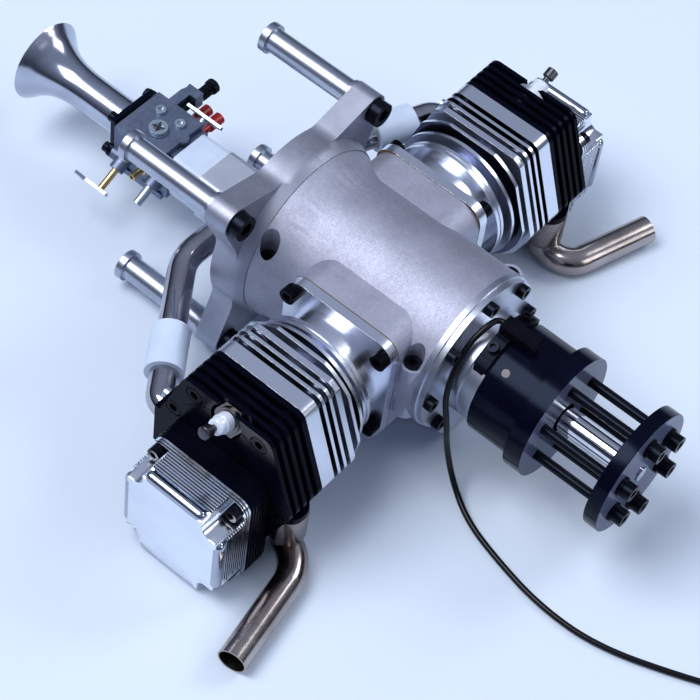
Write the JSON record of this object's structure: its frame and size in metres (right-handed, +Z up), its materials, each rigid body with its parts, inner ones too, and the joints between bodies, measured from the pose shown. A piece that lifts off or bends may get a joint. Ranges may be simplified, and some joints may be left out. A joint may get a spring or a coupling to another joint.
{
  "type": "flat twin aircraft engine",
  "caption": "Flat opposed-cylinder four-stroke model aircraft engine with finned cylinders, firewall standoffs, carburettor, velocity stack and propeller hub.",
  "frame": {"origin": "centre of the four rear standoff faces that meet the firewall, on the crank axis", "axes": "+Z up, -Y along the crank towards the propeller, +Y towards the carburettor, -X the cylinder set further forward, +X the one set further back"},
  "size_m": [0.339, 0.4995, 0.1102],
  "materials": {
    "cast_aluminium": "satin sand cast",
    "machined_aluminium": "bright turned",
    "plate_aluminium": "satin milled",
    "carb_casting": "matte die cast",
    "black_anodised": "satin black",
    "black_steel": "black oxide",
    "polished_steel": "polished",
    "tube_steel": "dark polished",
    "exhaust_steel": "heat tinted",
    "ground_steel": "ground",
    "gear_steel": "oiled",
    "zinc_steel": "zinc plated",
    "nickel_steel": "nickel plated",
    "brass": "turned",
    "white_plastic": "smooth",
    "ceramic": "glazed",
    "red_plastic": "moulded",
    "black_plastic": "moulded",
    "cable_black": "sheath",
    "gasket": "pressed fibre"
  },
  "bodies": {
    "engine": {"crankcase_upper": "cast_aluminium", "crankcase_lower": "cast_aluminium", "case_bolts": "black_steel", "mount_plate": "plate_aluminium", "mount_standoffs": "machined_aluminium", "standoff_bolts": "black_steel", "plate_bolts": "black_steel", "front_cover": "machined_aluminium", "front_cover_bolts": "black_steel", "front_bearing": "ground_steel", "main_bearings": "ground_steel", "lifters": "ground_steel", "pushrods": "ground_steel", "pushrod_tubes": "tube_steel", "rocker_arms": "ground_steel", "valves": "ground_steel", "sensor_bracket": "black_plastic", "hall_sensor": "black_plastic", "small_screws": "zinc_steel", "sensor_cable": "cable_black", "cable_coil": "cable_black", "cable_connector": "black_plastic", "cylinder_left": "machined_aluminium", "cylinder_right": "machined_aluminium", "base_gaskets": "gasket", "cylinder_bolts": "black_steel", "head_left": "black_anodised", "head_right": "black_anodised", "rocker_cover_left": "plate_aluminium", "rocker_cover_right": "plate_aluminium", "cover_bolts": "black_steel", "plug_shells": "nickel_steel", "plug_insulators": "ceramic", "exhaust_pipe_left": "exhaust_steel", "exhaust_pipe_right": "exhaust_steel", "intake_tubes_upper": "tube_steel", "intake_tubes_lower": "tube_steel", "intake_sleeves": "white_plastic", "pistons": "machined_aluminium", "wrist_pins": "ground_steel", "intake_manifold": "plate_aluminium", "carb_spacer": "white_plastic", "carburettor_body": "carb_casting", "velocity_stack": "machined_aluminium", "fuel_fitting": "brass", "carb_screws": "black_steel"},
    "crank": {"crankshaft": "polished_steel", "crank_gear": "gear_steel", "prop_hub": "black_anodised", "prop_washer": "black_anodised", "prop_bolts": "black_steel", "prop_bolt_washers": "black_steel", "trigger_magnet": "polished_steel"},
    "cam": {"camshaft": "ground_steel", "cam_gear": "gear_steel"},
    "throttle": {"throttle_shaft": "zinc_steel"},
    "choke": {"choke_shaft": "brass"},
    "idle": {"idle_screw": "black_steel"},
    "low_needle": {"needle_low": "red_plastic"},
    "high_needle": {"needle_high": "red_plastic"}
  },
  "joints": [
    {"name": "crank_spin", "type": "hinge", "parent": "engine", "child": "crank", "pos_m": [0, -0.12, 0], "axis": [0, 1, 0], "continuous": true},
    {"name": "cam_spin", "type": "hinge", "parent": "engine", "child": "cam", "pos_m": [0, -0.12, -0.03], "axis": [0, 1, 0], "continuous": true},
    {"name": "throttle_turn", "type": "hinge", "parent": "engine", "child": "throttle", "pos_m": [0, 0.013, -0.0145], "axis": [0.891, 0, 0.454], "range_deg": [0, 75]},
    {"name": "choke_turn", "type": "hinge", "parent": "engine", "child": "choke", "pos_m": [0, 0.0336, -0.0145], "axis": [0.891, 0, 0.454], "range_deg": [0, 75]},
    {"name": "idle_screw_turn", "type": "hinge", "parent": "engine", "child": "idle", "pos_m": [0.03, 0.0253, -0.0045], "axis": [1, 0, 0], "range_deg": [-180, 360]},
    {"name": "needle_low_turn", "type": "hinge", "parent": "engine", "child": "low_needle", "pos_m": [0.02, 0.025, -0.02], "axis": [1, 0, 0], "range_deg": [-90, 540]},
    {"name": "needle_high_turn", "type": "hinge", "parent": "engine", "child": "high_needle", "pos_m": [0.02, 0.0172, -0.02], "axis": [1, 0, 0], "range_deg": [-90, 540]}
  ],
  "couplings": [
    {"joint": "cam_spin", "follows": "crank_spin", "ratio": -0.5}
  ]
}
